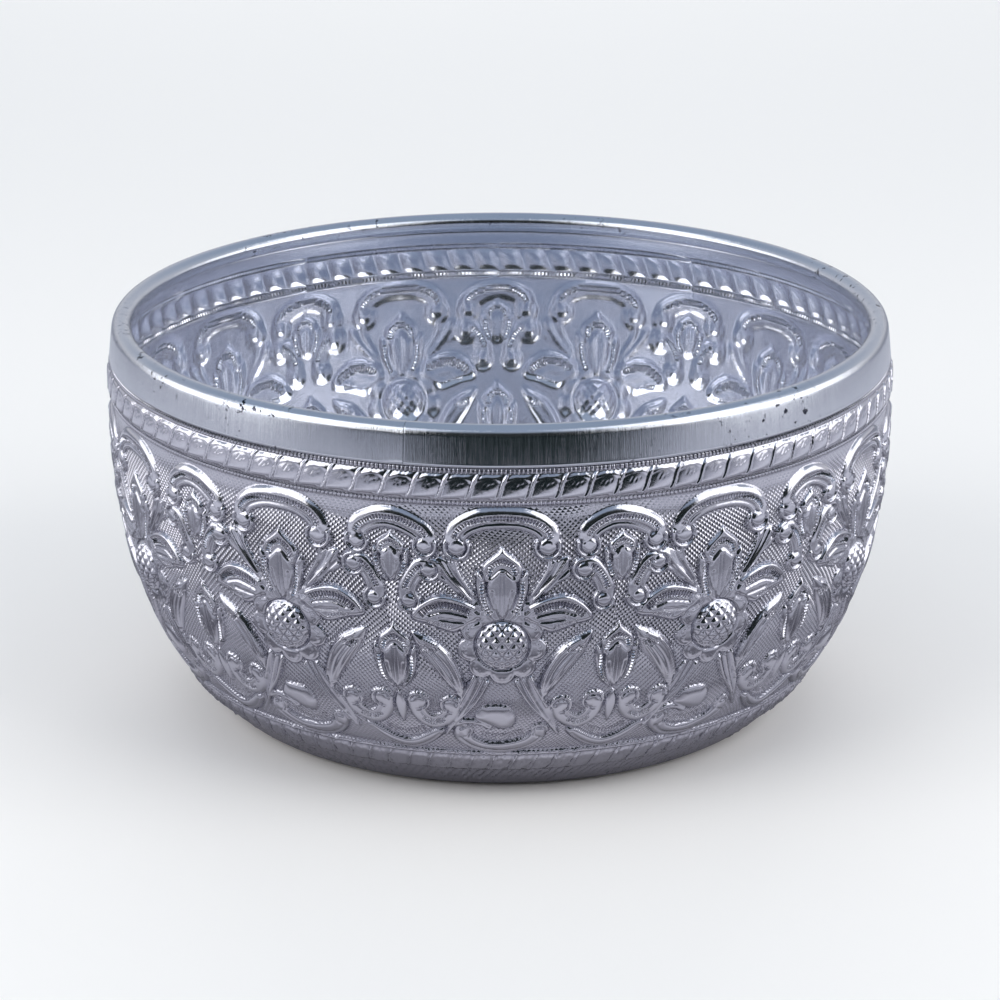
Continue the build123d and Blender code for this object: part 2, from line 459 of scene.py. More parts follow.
def boat(stamp):
    """The boat at the flower's foot, with a bud and its stalk lying in it, a chased keel and a comb."""
    bud = [(-7.4, 31.6), (-6.3, 34), (-4.8, 35.7), (-2, 36.1), (1.2, 35.7), (2.9, 33.8), (3.8, 31.4),
           (3.4, 29), (2.2, 27.8), (-0.5, 27.6), (-3, 28.8), (-5.5, 30)]
    pillow(stamp, bud, height=1.0, crown=2.8)
    bead(stamp, [(-12.8, 29.2), (-9.4, 30.5), (-6, 30), (-3.4, 28.6)], width=1.0, height=0.8)
    hull = [(-13.2, 24), (-10, 20.9), (-6, 19), (0, 18.4), (5, 19.4), (9, 21.3), (11.6, 24), (12.2, 26.6),
            (11.2, 28.5), (9, 28.7), (8, 26.6), (6, 24.6), (2.5, 23.3), (-1, 22.8), (-4.5, 23.1),
            (-7.5, 24.6), (-9.2, 26.8), (-11, 28.6), (-13, 27.4)]
    pillow(stamp, hull, height=1.0, crown=1.3)
    keel = [(-11.4, 25), (-8.6, 22.2), (-5, 20.6), (0, 20), (5, 20.8), (8.6, 22.8), (10.6, 25)]
    engrave(stamp, keel, width=0.45, depth=0.34)
    comb(stamp, [(-6, 25.8), (-2, 24.8), (2, 25), (5.6, 26.6)], length=2.0, pitch=0.9, depth=0.16)


def knob_flower(stamp):
    """The main motif: an arch, a standing bud, leaves, the knob in its collar, stems and a boat below."""
    arch = both_halves([(13.9, 80.4), (13.4, 83), (11.9, 85.4), (9.2, 87.4), (5, 88.9), (0, 89.3)])
    scroll_band(stamp, arch, arch_steps)
    arch_comb = both_halves([(11.2, 81.8), (10.4, 83.4), (8.4, 85.1), (5, 86.2), (0, 86.6)])
    comb(stamp, arch_comb, length=1.5, pitch=0.78, depth=0.34)
    standing_bud(stamp, foot=60.4, tip=79.5, half=4.9)
    boat(stamp)
    for side in both_hands(stamp):
        upper_leaf(side)
        side_leaf(side)
        lower_leaf(side)
        stems(side)
        volute(side, (10.2, 26.9), radius=2.3, start=0, sweep=230, rise=0.75)
    knob_in_collar(stamp)


def hanging_bud(stamp):
    """The second motif: a smaller arch, a bud between S scrolls, a larger bud, volutes and a crescent."""
    arch = [(11.2, 80.4), (10.9, 82.4), (9.4, 84.4), (6.8, 86.2), (3.4, 87.7), (0, 88.4), (-3.4, 88.2),
            (-6.6, 87), (-9, 85.4), (-10.5, 83.4), (-10.9, 80.8)]
    scroll_band(stamp, arch, arch_steps)
    arch_comb = [(8.6, 81.8), (7.6, 83.2), (5.4, 84.5), (3, 85.4), (0, 85.8), (-3, 85.7), (-5.4, 84.7),
                 (-7.4, 83.4), (-8.4, 81.8)]
    comb(stamp, arch_comb, length=1.4, pitch=0.76, depth=0.34)
    standing_bud(stamp, foot=69.6, tip=82.4, half=3.5)
    standing_bud(stamp, foot=40.4, tip=58.8, half=4.3)
    crescent_foot = both_halves([(-11.4, 26.6), (-8.4, 22.8), (-4.4, 20), (0, 18.8)])
    crescent_top = both_halves([(9.6, 27.8), (6.4, 25.6), (3.2, 23.6), (0, 22.8)])
    pillow(stamp, crescent_foot + crescent_top, height=1.0, crown=1.3)
    engrave(stamp, both_halves([(-9.6, 26), (-6.6, 23), (-3, 20.9), (0, 20.2)]), width=0.45, depth=0.34)
    comb(stamp, both_halves([(-5.4, 26.8), (-2.4, 25.4), (0, 25)]), length=2.0, pitch=0.9, depth=0.16)
    stalk = [(0, 39.6), (1.5, 36), (1.3, 32), (0, 28.6), (-1.3, 32), (-1.5, 36)]
    pillow(stamp, stalk, height=0.6, crown=0.9)
    scroll = [(9.4, 76.4), (6.4, 76), (4.2, 73.8), (2.5, 71), (1.6, 68.2), (1.6, 65)]
    cradle = [(1.8, 36.8), (2.3, 32.4), (4.6, 29), (8.4, 27.4), (12.2, 28.6), (15.2, 31.6), (16.1, 35.4)]
    for side in both_hands(stamp):
        volute(side, (8.3, 79.3), radius=3.0, start=20, sweep=-230)
        scroll_band(side, scroll, scroll_steps)
        comb(side, [(7.6, 74.3), (5.8, 72.9), (4.4, 70.8), (3.5, 68.4)], length=1.5, pitch=0.74, depth=0.38)
        volute(side, (9.2, 73.4), radius=3.0, start=90, sweep=-250)
        volute(side, (4.3, 65.1), radius=2.8, start=180, sweep=230)
        volute(side, (4.9, 36.3), radius=3.0, start=170, sweep=-230, rise=0.72)
        volute(side, (13.3, 35.4), radius=2.9, start=0, sweep=230, rise=0.72)
        scroll_band(side, cradle, scroll_steps)
        comb(side, [(5.6, 31.4), (8.4, 30), (11.4, 31)], length=1.2, pitch=0.8, depth=0.2)


def rope_course(panel, turn_share, bottom, top, rise, count):
    """A swaged band crossed by leaning S ridges; each lobe has an arched thread and a flourish."""
    lean, crest = 0.5, 0.4
    ridge_half, ridge_rise = 0.075, 0.88
    lobe_edge, lobe_swell, back_edge = 0.3, 0.44, 0.1
    thread_level, thread_arch, thread_half, thread_rise = 0.7, 0.2, 0.075, 0.1
    strokes, stroke_half, stroke_lean = ((0.4, 0.6, 0.13), (0.54, 0.56, 0.1), (0.68, 0.62, 0.08)), 0.05, 0.3
    nick_level, dash_level, mark_half = 0.93, 0.07, 0.06
    flourish_depth, nick_depth, dash_depth = 0.1, 0.16, 0.2
    level = (panel["run"] - bottom) / (top - bottom)
    band = np.flatnonzero((level > 0) & (level < 1))
    level = level[band][:, None]
    rounding = np.where(level > crest, ((level - crest) / (1 - crest)) ** 2, ((crest - level) / crest) ** 4)
    crown = np.clip(1 - rounding, 0, 1) ** 0.5
    square = np.clip(1 - (2 * level - 1) ** 6, 0, 1) ** 0.5
    sway = 0.5 * lean * (level - 0.5) + 2 * lean * (level - 0.5) ** 3
    phase = (turn_share[None, :] * count - sway) % 1.0
    swell = np.sin(math.pi * phase)
    ridge = np.clip(1 - (np.minimum(phase, 1 - phase) / ridge_half) ** 2, 0, 1)
    lobe = lobe_edge + lobe_swell * swell ** 0.6
    thread = np.clip(1 - ((level - thread_level - thread_arch * swell) / thread_half) ** 2, 0, 1)
    raised = np.maximum(crown * lobe + thread_rise * thread, ridge_rise * square * ridge)
    panel["form"][band] = rise * raised
    panel["back"][band] = rise * crown * (back_edge + (1 - back_edge) * swell)
    flourish = np.zeros(phase.shape)
    for place, middle, reach in strokes:
        stroke = np.clip(1 - np.abs(phase - place - stroke_lean * (level - middle)) / stroke_half, 0, 1)
        ends = np.clip((reach - np.abs(level - middle)) / mark_half, 0, 1)
        flourish = np.maximum(flourish, stroke * ends)
    nick = np.clip(1 - np.abs(level - nick_level) / mark_half, 0, 1) * (np.cos(2 * math.tau * phase) > 0.2)
    dash = np.clip(1 - np.abs(level - dash_level) / mark_half, 0, 1) * (np.cos(math.tau * phase) < 0.3)
    panel["chase"][band] = -flourish_depth * flourish - nick_depth * nick - dash_depth * dash


def milled_row(panel, turn_share, bottom, top, count, depth):
    """A row of close upright nicks."""
    band = np.flatnonzero((panel["run"] > bottom) & (panel["run"] < top))
    panel["form"][band] = depth * (0.5 + 0.5 * np.cos(math.tau * count * turn_share))[None, :]
    panel["stroke"][band] = depth
    panel["count"][band] = count * turn_share + 0.5


def softened(field, tall, wide):
    """A field averaged over so many rows and columns, running on from its last column to its first."""
    for axis, reach in ((0, tall), (1, wide)):
        padding = [(0, 0), (0, 0)]
        padding[axis] = (reach, reach)
        padded = np.pad(field, padding, mode="wrap" if axis else "edge")
        total = np.cumsum(padded, axis=axis)
        total = np.insert(total, 0, 0, axis=axis)
        size = 2 * reach + 1
        last = np.take(total, range(size, total.shape[axis]), axis=axis)
        first = np.take(total, range(0, total.shape[axis] - size), axis=axis)
        field = (last - first) / size
    return field


# Where the motifs stand, in degrees round from the front; the front ones follow the photographed bowl.
middle_flower, right_flower, left_flower = 0.3, 31.85, 328.4
flower_pitch = 32.95
front_buds = {0: 16.74, 10: 345.05}
front_repeats = [0, 1, 10]
bud_shift = 0.35
back_flowers = [right_flower + flower_pitch * step for step in range(repeats - 2)]
flower_at = np.radians([middle_flower] + back_flowers + [left_flower])
flower_after = np.append(flower_at[1:], flower_at[0] + math.tau)
cut_at = (flower_at + flower_after) / 2
bud_at = cut_at + math.radians(bud_shift)
for number, bud_angle in front_buds.items():
    bud_at[number] = math.radians(bud_angle)

# How far up and how hard each flower and bud is struck, with less drift where the front shows it.
draws = np.random.default_rng(11)
strike_lift = draws.uniform(-0.25, 0.25, (repeats, 2))
strike_force = draws.uniform(0.92, 1.05, (repeats, 2))
strike_lift[front_repeats] *= 0.4

# The sunk ground with its matting, whose share of the full depth goes by the run up the wall.
draft_shift = 0.6
field_bottom, field_top = 19.0, 90.2
field_spill, field_edge = 0.6, 0.5
ground_level = -0.38
ground_pitch, ground_depth = 1.32, 0.08
ground_clear = 0.22
ground_share = ((19, 30, 40, 52, 79, 84, 87), (0.5, 0.7, 0.95, 1, 0.95, 0.6, 0.15))
drift, drift_tall, drift_wide = 1.6, 7.3, 8.1
chase_full, chase_least = 0.2, 0.6
uneven = 0.045

# The borders above and below the field, the foot, and the edge tucked under the rim band.
milled_count = 54
border_run, border_half, border_rise = 18.1, 0.6, 0.5
hatch_bottom, hatch_top, hatch_fade = 3.5, 10.2, 2
hatch_count, hatch_pitch, hatch_depth = 22, 3.2, 0.11
mottled_top, mottled = 18, 0.075
joint_fading = 8
tuck_edge, tuck_depth = 0.3, 0.35


def struck(number, angle):
    """The layers of one repeat's sheet with its flower and its buds struck, outer rows by columns."""
    before = number - 1
    lap = math.tau if number == 0 else 0
    layers = ("form", "chase", "stroke", "count", "back")
    shape = (len(outer_runs), repeat_columns + 1)
    panel = {layer: np.zeros(shape) for layer in layers}
    panel["run"] = outer_runs - draft_shift
    strikes = (
        (knob_flower, flower_at[number], (number, 0)),
        (hanging_bud, bud_at[number], (number, 1)),
        (hanging_bud, bud_at[before] - lap, (before, 1)),
    )
    for motif, at, strike in strikes:
        stamp = {layer: np.zeros(shape) for layer in layers}
        stamp["run"] = panel["run"] + strike_lift[strike]
        stamp["across"] = (angle - at) * drawn_radius
        motif(stamp)
        panel["form"] = np.maximum(panel["form"], stamp["form"] * strike_force[strike])
        panel["chase"] = np.minimum(panel["chase"], stamp["chase"] * strike_force[strike])
        deeper = stamp["stroke"] > panel["stroke"]
        panel["stroke"] = np.where(deeper, stamp["stroke"], panel["stroke"])
        panel["count"] = np.where(deeper, stamp["count"], panel["count"])
    return panel


def emboss(number):
    """One repeat as fields of outer rows by columns: its angles, its height in front and behind, and for the
    finish the matted ground (two counts and a share) and the strokes (count, depth)."""
    start = cut_at[number - 1] - (math.tau if number == 0 else 0)
    share = np.arange(repeat_columns + 1) / repeat_columns
    angle = start + share * (cut_at[number] - start)
    panel = struck(number, angle)
    run = panel["run"]
    joint_fade = np.clip(joint_fading * np.minimum(share, 1 - share), 0, 1)
    field = np.clip((run - field_bottom + field_spill) / field_edge, 0, 1)
    field = (field * np.clip((field_top - run) / field_edge, 0, 1))[:, None]
    bare = np.clip(1 - panel["form"] / ground_clear, 0, 1) * field * np.interp(run, *ground_share)[:, None]
    rough = softened(softened(draws.normal(size=bare.shape), 5, 6), 5, 6)
    rough *= uneven / rough.std() * joint_fade * field
    x, s = np.meshgrid(angle * drawn_radius, run)
    weft = (x + drift * np.sin(s / drift_tall + number)) / ground_pitch
    warp = (s + drift * np.sin(x / drift_wide + 2 * number)) / ground_pitch
    dots = 0.5 * (np.cos(math.tau * (weft + warp)) + np.cos(math.tau * (weft - warp)))
    bite = np.clip(panel["form"] / chase_full, chase_least, 1)
    panel["chase"] = panel["chase"] * bite + ground_depth * dots * bare
    panel["form"] = (panel["form"] + ground_level) * field + rough
    panel["stroke"] *= field
    rope_course(panel, share, bottom=90.8, top=97.2, rise=1.05, count=8)
    rope_course(panel, share, bottom=10.6, top=17.2, rise=1.25, count=9)
    panel["form"] += border_rise * np.clip(1 - ((run - border_run) / border_half) ** 2, 0, 1)[:, None]
    milled_row(panel, share, bottom=89.4, top=90.6, count=milled_count, depth=0.26)
    milled_row(panel, share, bottom=97.4, top=98.9, count=milled_count, depth=0.3)
    foot = np.flatnonzero(run < hatch_top)
    slant = np.cos(math.tau * (share[None, :] * hatch_count - run[foot][:, None] / hatch_pitch))
    hatching = np.clip((run[foot] - hatch_bottom) / hatch_fade, 0, 1)[:, None]
    panel["chase"][foot] += hatch_depth * slant * hatching
    low = np.flatnonzero(run < mottled_top)
    mottle = softened(draws.normal(size=(len(low), len(share))), 1, 1)
    panel["chase"][low] += mottled * mottle / mottle.std() * joint_fade
    tucked = np.clip((outer_runs - band_bottom_run + tuck_edge) / tuck_edge, 0, 1)[:, None]
    height = (panel["form"] + panel["chase"]) * (1 - tucked) - tuck_depth * tucked
    back = softened(np.where(panel["back"] > 0, panel["back"], height), 2, 2)
    return angle, height, back, (weft, warp, bare), (panel["count"], panel["stroke"], 0 * field)


def feed(node, **inputs):
    """Sets a node's inputs, by name or as n0, n1 by place, to a value or to another node's output."""
    for key, value in inputs.items():
        by_place = key[0] == "n" and key[1:].isdigit()
        socket = node.inputs[int(key[1:]) if by_place else key.replace("_", " ")]
        if isinstance(value, bpy.types.NodeSocket):
            node.id_data.links.new(value, socket)
        else:
            socket.default_value = value


def add_node(tree, kind, settings=(), **inputs):
    """A new node in a tree, with its settings and its inputs."""
    made = tree.nodes.new(kind)
    for key, value in dict(settings).items():
        setattr(made, key, value)
    feed(made, **inputs)
    return made


def reckon(tree, operation, *terms):
    """The result of one operation on two or three terms."""
    made = add_node(tree, "ShaderNodeMath", {"operation": operation})
    feed(made, **{f"n{place}": term for place, term in enumerate(terms)})
    return made.outputs["Value"]


def mixed(tree, share, low, high):
    """A colour between two others, by a share."""
    return add_node(tree, "ShaderNodeMix", {"data_type": "RGBA"}, n0=share, n6=low, n7=high).outputs[2]


def ranged(tree, value, start, end, low=0.0, high=1.0, easing="LINEAR"):
    """A value carried from one range into another and held at its ends."""
    made = add_node(tree, "ShaderNodeMapRange", {"interpolation_type": easing}, Value=value, From_Min=start,
                    From_Max=end, To_Min=low, To_Max=high)
    return made.outputs["Result"]


def noise(tree, vector, scale, detail, roughness=0.5):
    """A cloudy pattern, from 0 to 1."""
    made = add_node(tree, "ShaderNodeTexNoise", Vector=vector, Scale=scale, Detail=detail,
                    Roughness=roughness)
    return made.outputs["Fac"]


def attribute(tree, name, output="Fac"):
    """A layer of values that the mesh carries."""
    return add_node(tree, "ShaderNodeAttribute", {"attribute_name": name}).outputs[output]


def coordinates(tree, kind="Object"):
    """Where a point lies: on the piece or, for the room, the way that it is seen."""
    return add_node(tree, "ShaderNodeTexCoord").outputs[kind]


def new_finish(name, metallic=1.0):
    """A new material, its node tree and its shader."""
    finish = bpy.data.materials.new(name)
    finish.use_nodes = True
    shader = finish.node_tree.nodes["Principled BSDF"]
    feed(shader, Metallic=metallic)
    return finish, finish.node_tree, shader


matting_depth = 0.46
stroke_depth = 2.5


def sharpened(tree):
    """Height in metres of the punch marks too fine for the mesh: pyramids on the ground and comb strokes."""
    ground = add_node(tree, "ShaderNodeSeparateXYZ", Vector=attribute(tree, "ground", "Vector")).outputs
    strokes = add_node(tree, "ShaderNodeSeparateXYZ", Vector=attribute(tree, "strokes", "Vector")).outputs
    ribs = []
    for way in ("ADD", "SUBTRACT"):
        ribs.append(reckon(tree, "PINGPONG", reckon(tree, way, ground["X"], ground["Y"]), 0.5))
    matting = reckon(tree, "MULTIPLY", reckon(tree, "MAXIMUM", *ribs), ground["Z"])
    crest = reckon(tree, "SUBTRACT", 0.5, reckon(tree, "PINGPONG", strokes["X"], 0.5))
    combing = reckon(tree, "MULTIPLY", crest, strokes["Y"])
    cut = reckon(tree, "MULTIPLY", matting, -matting_depth * mm)
    return reckon(tree, "MULTIPLY_ADD", combing, -stroke_depth * mm, cut)


# Bright aluminium, clouded a little, dark in the chased hollows, and softer on the inside, where its paler
# colour is painted light for the brightly lit inside of the bowl.
cloud_dark, cloud_bright = (0.64, 0.632, 0.685, 1), (0.76, 0.75, 0.803, 1)
# The lining colour is painted light: it is paler than the outside so that the inside of the bowl looks more
# brightly lit.
hollow_tone, lining_painted_light = (0.34, 0.34, 0.40, 1), (0.82, 0.832, 0.892, 1)
dull_least, dull_most = 0.11, 0.19
lining_dull, lining_spread = 0.12, -0.08
grain_strength, lining_grain = 0.06, -0.05
grain_height = 0.2 * mm
embossed_aluminium, tree, metal = new_finish("embossed_aluminium")
place = coordinates(tree)
inside = attribute(tree, "inside")
cloud = noise(tree, place, scale=38.0, detail=3.0, roughness=0.6)
grain = noise(tree, place, scale=1500.0, detail=2.0, roughness=0.6)
tone = mixed(tree, cloud, cloud_dark, cloud_bright)
tone = mixed(tree, attribute(tree, "hollow"), tone, hollow_tone)
spread = reckon(tree, "MULTIPLY_ADD", inside, lining_spread, dull_most)
dull = ranged(tree, grain, 0.3, 0.7, low=dull_least, high=spread)
marks = add_node(tree, "ShaderNodeBump", Strength=1.0, Distance=1.0, Height=sharpened(tree))
strength = reckon(tree, "MULTIPLY_ADD", inside, lining_grain, grain_strength)
relief = add_node(tree, "ShaderNodeBump", Strength=strength, Distance=grain_height, Height=grain,
                  Normal=marks.outputs["Normal"])
# The inside faces take the paler lining colour, which is painted light.
feed(metal, Base_Color=mixed(tree, inside, tone, lining_painted_light), Normal=relief.outputs["Normal"],
     Roughness=reckon(tree, "MULTIPLY_ADD", inside, lining_dull, dull))

widest_radius = 99.91
hollow_scale = 0.45
strokes_behind = 0.6
for number in range(repeats):
    angle, height, back, ground, strokes = emboss(number)
    lifted = np.zeros((len(section_points), repeat_columns + 1))
    lifted[outer_rows] = height
    lifted[inner_rows] = back[row_in_front]
    radius = section_points[:, :1] + lifted * section_facing[:, :1]
    radius[:first_inner] = np.minimum(radius[:first_inner], widest_radius)
    level = section_points[:, 1:] + lifted * section_facing[:, 1:]
    spots = np.empty((len(rows), 3))
    spots[:, 0] = radius[rows, columns] * np.sin(angle[columns])
    spots[:, 1] = -radius[rows, columns] * np.cos(angle[columns])
    spots[:, 2] = level[rows, columns]
    wall_mesh = blank_mesh.copy()
    wall_mesh.vertices.foreach_set("co", (spots * mm).ravel())
    hollows = np.zeros_like(lifted)
    hollows[outer_rows] = np.clip((softened(height, 3, 4) - height) / hollow_scale, 0, 1)
    within = np.zeros_like(lifted)
    within[first_inner:] = 1.0
    for name, values in (("hollow", hollows), ("inside", within)):
        wall_mesh.attributes.new(name, "FLOAT", "POINT").data.foreach_set("value", values[rows, columns])
    for name, layers, share_behind in (("ground", ground, 0.0), ("strokes", strokes, strokes_behind)):
        marked = np.zeros(lifted.shape + (3,))
        marked[outer_rows] = np.stack(np.broadcast_arrays(*layers), 2)
        marked[inner_rows] = marked[outer_rows][row_in_front] * (1, share_behind, 0)
        layer = wall_mesh.attributes.new(name, "FLOAT_VECTOR", "POINT")
        layer.data.foreach_set("vector", marked[rows, columns].ravel())
    wall_mesh.update()
    wall_mesh.materials.append(embossed_aluminium)
    wall = bpy.data.objects.new(f"wall_repeat_{number + 1:02d}", wall_mesh)
    bpy.context.scene.collection.objects.link(wall)
    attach(wall, "root")
    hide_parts("bowl_shell")
bpy.data.meshes.remove(blank_mesh)

# Base: the flat middle of the same sheet, left plain where the bowl stands, bright inside and out.
# It is a piece of its own only because the wall is cut into repeats.
base_steps = 216
base_rings = (0.0, 22.0, 44.0, base_disc_radius)
base_section = [(radius, 0.0) for radius in base_rings] + [(radius, sheet) for radius in base_rings[::-1]]
base_blank = bmesh.new()
base_verts = [base_blank.verts.new((0.0, -radius * mm, height * mm)) for radius, height in base_section]
base_edges = [base_blank.edges.new(pair) for pair in zip(base_verts, base_verts[1:])]
bmesh.ops.spin(
    base_blank, geom=base_verts + base_edges, cent=(0, 0, 0), axis=(0, 0, 1), angle=math.tau,
    steps=base_steps, use_merge=True,
)
bmesh.ops.remove_doubles(base_blank, verts=base_blank.verts, dist=0.01 * mm)
bmesh.ops.recalc_face_normals(base_blank, faces=base_blank.faces)
base_mesh = bpy.data.meshes.new("base_disc")
base_blank.to_mesh(base_mesh)
base_blank.free()
# The upper face lies inside the bowl and takes the paler lining colour, which is painted light.
base_inside = [float(vertex.co.z > 0) for vertex in base_mesh.vertices]
base_mesh.attributes.new("inside", "FLOAT", "POINT").data.foreach_set("value", base_inside)
base_mesh.materials.append(embossed_aluminium)
base_disc = bpy.data.objects.new("base_disc", base_mesh)
bpy.context.scene.collection.objects.link(base_disc)
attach(base_disc, "root")
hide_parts("bowl_shell")

# Rim band: a plain aluminium strip folded over the edge of the wall, rolled inwards round a wire and tucked
# against the inside. Its ends butt at the front left, where one stands a little proud, and burnishing has
# left upright hairlines and scuffs.
band_sheet = 0.6
band_proud = 0.5
band_bottom = 91.4
band_top = 100.96
edge_round = 0.14
lip_radius = 2.58
lip_centre = np.array((95.82, 98.4))
lip_start, lip_turn = math.radians(7.457), math.radians(292)
leg_rows, lip_rows, lip_blend = 12, 44, 5
seam_radius = 96.0
band_seam = math.radians(-13.0)
band_gap = 0.06 / seam_radius
band_columns = 400
end_round, end_drop, end_columns = 0.22 / seam_radius, 0.08, 3
spring_reach, spring_rise = 7.0 / seam_radius, 0.22
dent_depth, dent_upward = 0.02, 0.3
dent_waves = ((0.5, 9, 1.0), (0.8, 17, 2.0), (0.6, 31, 0.4))
skew_size, skew_count, skew_lead = 0.5, 47, 0.2

band_low = math.asin((band_bottom - belly_height) / upper_wall_radius)
leg_facing = facings(np.linspace(band_low, lip_start, leg_rows))
roll_facing = facings(np.linspace(lip_start, lip_start + lip_turn, lip_rows))
leg_face = upper_centre + (upper_wall_radius + band_proud) * leg_facing
leg_back = upper_centre + (upper_wall_radius + band_proud - band_sheet) * leg_facing
roll_face = lip_centre + lip_radius * roll_facing
roll_back = lip_centre + (lip_radius - band_sheet) * roll_facing
blend = np.linspace(0, 1, lip_blend)[:, None]
roll_face[:lip_blend] = leg_face[-1] * (1 - blend) + roll_face[:lip_blend] * blend
low_edge = [leg_back[0], leg_face[0] - edge_round * leg_facing[0], leg_face[0] + (0, edge_round)]
inner_face = np.vstack((roll_back[::-2], leg_back[-2:0:-3]))
band_points = np.vstack((low_edge, leg_face[1:-1], roll_face, inner_face))
band_lift = np.vstack((np.zeros_like(low_edge), leg_facing[1:-1], roll_facing, np.zeros_like(inner_face)))
band_run = np.concatenate(([0], np.cumsum(np.hypot(*np.diff(band_points, axis=0).T))))

band_sweep = math.tau - band_gap
band_mesh, band_rows, turned = spun("rim_strip", band_points, band_sweep, band_columns)
turned = np.where(turned % math.tau > math.tau - band_gap * 0.5, 0.0, turned % math.tau)
column = np.rint(turned / band_sweep * band_columns)
turned = np.where(column < end_columns, column * end_round, turned)
wave = sum(size * np.sin(count * turned + lead) for size, count, lead in dent_waves)
wave = wave + skew_size * np.sin(skew_count * turned + band_rows * skew_lead)
sprung = np.clip(1 - (band_sweep - turned) / spring_reach, 0, 1) ** 2
dent = dent_depth * wave - end_drop * (column == 0) + spring_rise * sprung
angle = turned + band_seam + band_gap / 2
radius = band_points[band_rows, 0] + dent * band_lift[band_rows, 0]
level = band_points[band_rows, 1] + dent_upward * dent * band_lift[band_rows, 1]
level = np.minimum(level, band_top)
spots = np.stack((radius * np.sin(angle), -radius * np.cos(angle), level), 1)
band_mesh.vertices.foreach_set("co", (spots * mm).ravel())
band_mesh.update()
corners = np.empty(len(band_mesh.loops), np.int32)
band_mesh.loops.foreach_get("vertex_index", corners)
map_scale = 0.01
strip_map = band_mesh.uv_layers.new(name="strip")
flat = np.stack((turned[corners] * drawn_radius, band_run[band_rows[corners]]), 1)
strip_map.data.foreach_set("uv", (flat * map_scale).ravel())

# Polished aluminium, its hairlines upright across the strip, with dark scuffs where it is worn.
band_dark, band_bright = (0.70, 0.72, 0.77, 1), (0.80, 0.82, 0.87, 1)
scuff_tone = (0.06, 0.06, 0.08, 1)
hairs_across, hairs_upright = 420.0, 9.0
polished_aluminium, tree, metal = new_finish("polished_aluminium")
place = coordinates(tree)
along = add_node(tree, "ShaderNodeUVMap", {"uv_map": "strip"}).outputs["UV"]
fine = add_node(tree, "ShaderNodeMapping", Vector=along, Scale=(hairs_across, hairs_upright, 1.0))
hairs = noise(tree, fine.outputs["Vector"], scale=1.0, detail=3.0, roughness=0.7)
cloud = noise(tree, place, scale=30.0, detail=3.0, roughness=0.6)
pits = ranged(tree, noise(tree, place, scale=420.0, detail=3.0, roughness=0.65), 0.62, 0.66)
worn = ranged(tree, noise(tree, place, scale=24.0, detail=1.0), 0.53, 0.62)
scuffs = reckon(tree, "MULTIPLY", pits, worn)
tone = mixed(tree, cloud, band_dark, band_bright)
dull = ranged(tree, hairs, 0.3, 0.7, low=0.10, high=0.24)
relief = add_node(tree, "ShaderNodeBump", Strength=0.24, Distance=grain_height, Height=hairs)
feed(metal, Base_Color=mixed(tree, scuffs, tone, scuff_tone), Roughness=dull,
     Normal=relief.outputs["Normal"])
band_mesh.materials.append(polished_aluminium)
rim_strip = bpy.data.objects.new("rim_strip", band_mesh)
bpy.context.scene.collection.objects.link(rim_strip)
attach(rim_strip, "root")
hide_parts("rim_band")

# Rim wire: a hoop of drawn steel inside the rolled lip, which stiffens the edge.
# Its ends butt at the back, and its shape is kept as the CAD made it.
wire_dark, wire_bright = (0.40, 0.41, 0.43, 1), (0.62, 0.63, 0.65, 1)
wire_steel, tree, metal = new_finish("wire_steel")
streaks = noise(tree, coordinates(tree), scale=300.0, detail=3.0)
feed(metal, Base_Color=mixed(tree, streaks, wire_dark, wire_bright),
     Roughness=ranged(tree, streaks, 0.0, 1.0, low=0.28, high=0.45))
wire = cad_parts["rim_wire"]
wire.data.materials.clear()
wire.data.materials.append(wire_steel)

# Floor: a plain pale table top, a hair below the base so that the two don't share a plane.
# From here on, sizes are in metres.
floor_half = 4.0
floor_drop = 0.0001
floor_blank = bmesh.new()
bmesh.ops.create_grid(floor_blank, x_segments=8, y_segments=8, size=floor_half)
bmesh.ops.translate(floor_blank, verts=floor_blank.verts, vec=(0, 0, -floor_drop))
floor_mesh = bpy.data.meshes.new("table_top")
floor_blank.to_mesh(floor_mesh)
floor_blank.free()
floor = bpy.data.objects.new("table_top", floor_mesh)
bpy.context.scene.collection.objects.link(floor)
table_white, tree, paint = new_finish("table_white", metallic=0.0)
feed(paint, Base_Color=(0.95, 0.918, 0.865, 1), Roughness=0.9, Specular_IOR_Level=0.1)
floor_mesh.materials.append(table_white)


# Cards, both kept out of the picture and seen only in polished metal: a grey one laid round the bowl, whose
# rings of dark and light grey are a painted reflection of shade and light on the table round the foot, and a
# black one standing in front, which the metal mirrors as a dark reflection. They stop the white table from
# filling the polished metal.
def card(name, wide, tall, middle, greys, upright=False):
    """A flat card that only polished metal sees; greys are (distance from the bowl's foot, colour)."""
    blank = bmesh.new()
    bmesh.ops.create_grid(blank, x_segments=1, y_segments=1, size=0.5)
    bmesh.ops.scale(blank, verts=blank.verts, vec=(wide, tall, 1))
    if upright:
        quarter = Matrix.Rotation(math.radians(90), 3, "X")
        bmesh.ops.rotate(blank, verts=blank.verts, cent=(0, 0, 0), matrix=quarter)
    bmesh.ops.translate(blank, verts=blank.verts, vec=middle)
    mesh = bpy.data.meshes.new(name)
    blank.to_mesh(mesh)
    blank.free()
    board = bpy.data.objects.new(name, mesh)
    bpy.context.scene.collection.objects.link(board)
    for hidden in ("camera", "diffuse", "shadow", "transmission", "volume_scatter"):
        setattr(board, "visible_" + hidden, False)
    finish, tree, paint = new_finish(name, metallic=0.0)
    away = add_node(tree, "ShaderNodeVectorMath", {"operation": "LENGTH"}, n0=coordinates(tree))
    ramp = add_node(tree, "ShaderNodeValToRGB", Fac=away.outputs["Value"])
    for _ in greys[2:]:
        ramp.color_ramp.elements.new(0.5)
    for stop, (distance, grey) in zip(ramp.color_ramp.elements, greys):
        stop.position = distance
        stop.color = grey
    feed(paint, Base_Color=ramp.outputs["Color"], Roughness=0.9, Specular_IOR_Level=0.0)
    mesh.materials.append(finish)
